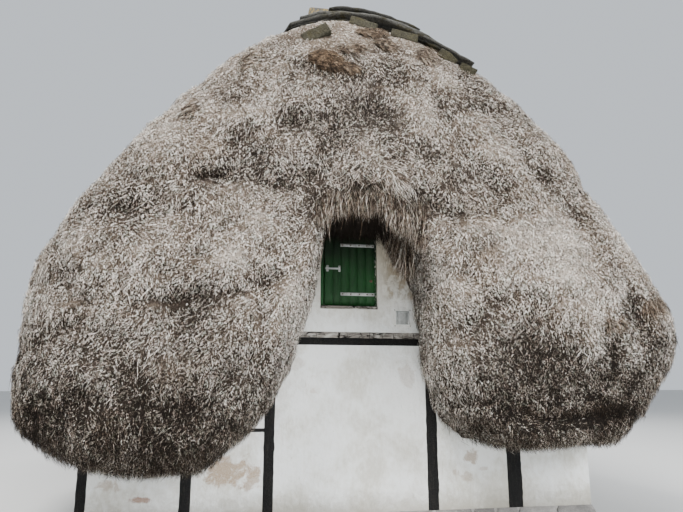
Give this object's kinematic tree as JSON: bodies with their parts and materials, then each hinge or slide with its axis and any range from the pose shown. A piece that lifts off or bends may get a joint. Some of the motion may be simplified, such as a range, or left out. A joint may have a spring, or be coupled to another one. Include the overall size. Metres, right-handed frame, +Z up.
{
  "type": "thatched cottage",
  "caption": "Low half-timbered cottage with limewashed walls, a loft hatch and a thick bell-shaped seaweed thatch that hangs in lobes before each gable.",
  "frame": {"origin": "on the ground at the middle of the four walls, on the underside of the floor slab", "axes": "+Z up, +Y along the ridge away from the front gable, +X to the right as seen from the front"},
  "size_m": [7.8829, 11.516, 7.4903],
  "materials": {
    "limewash": "matt limewash over brick and clay, worn in places",
    "black_timber": "tarred black oak, hewn and chipped",
    "grey_timber": "weathered timber with old whitewash",
    "green_paint": "dark green paint, aged",
    "grey_metal": "light grey paint with rust specks",
    "seaweed": "dry weathered seaweed fibres, silver grey to brown",
    "turf": "dry turf with moss",
    "fieldstone": "grey fieldstones in lime mortar",
    "chimney_stone": "weathered mortar with yellow lichen",
    "clay_floor": "trodden clay",
    "boards": "bare old boards",
    "window_glass": "old clear glass"
  },
  "bodies": {
    "root": {"front_panel_1": "limewash", "front_panel_2": "limewash", "front_panel_3": "limewash", "front_panel_4": "limewash", "front_panel_5": "limewash", "front_gable_wall": "limewash", "back_wall": "limewash", "left_wall_infill": "limewash", "right_wall_infill": "limewash", "chimney_stack": "limewash", "front_post_1": "black_timber", "front_post_2": "black_timber", "front_post_3": "black_timber", "front_post_4": "black_timber", "front_post_5": "black_timber", "front_tie_beam": "black_timber", "front_rail": "black_timber", "back_timber_frame": "black_timber", "left_wall_timber_frame": "black_timber", "right_wall_timber_frame": "black_timber", "front_gable_sill": "grey_timber", "hatch_sill": "grey_timber", "hatch_frame": "green_paint", "hatch_leaf": "green_paint", "back_hatch_frame": "green_paint", "back_hatch_leaf": "green_paint", "left_wall_window_1_frame": "green_paint", "left_wall_window_2_frame": "green_paint", "right_wall_window_1_frame": "green_paint", "right_wall_door_frame": "green_paint", "right_wall_door_leaf": "green_paint", "hatch_strap_upper": "grey_metal", "hatch_strap_lower": "grey_metal", "hatch_latch": "grey_metal", "vent_grille": "grey_metal", "thatch_front_left_lobe": "seaweed", "thatch_front_right_lobe": "seaweed", "thatch_front_crown": "seaweed", "thatch_left_slope": "seaweed", "thatch_right_slope": "seaweed", "thatch_back": "seaweed", "turf_course_1": "turf", "turf_course_2": "turf", "turf_course_3": "turf", "stone_plinth": "fieldstone", "chimney_cap": "chimney_stone", "ground_floor": "clay_floor", "loft_floor": "boards", "left_wall_window_1_glass": "window_glass", "left_wall_window_2_glass": "window_glass", "right_wall_window_1_glass": "window_glass"}
  },
  "joints": []
}
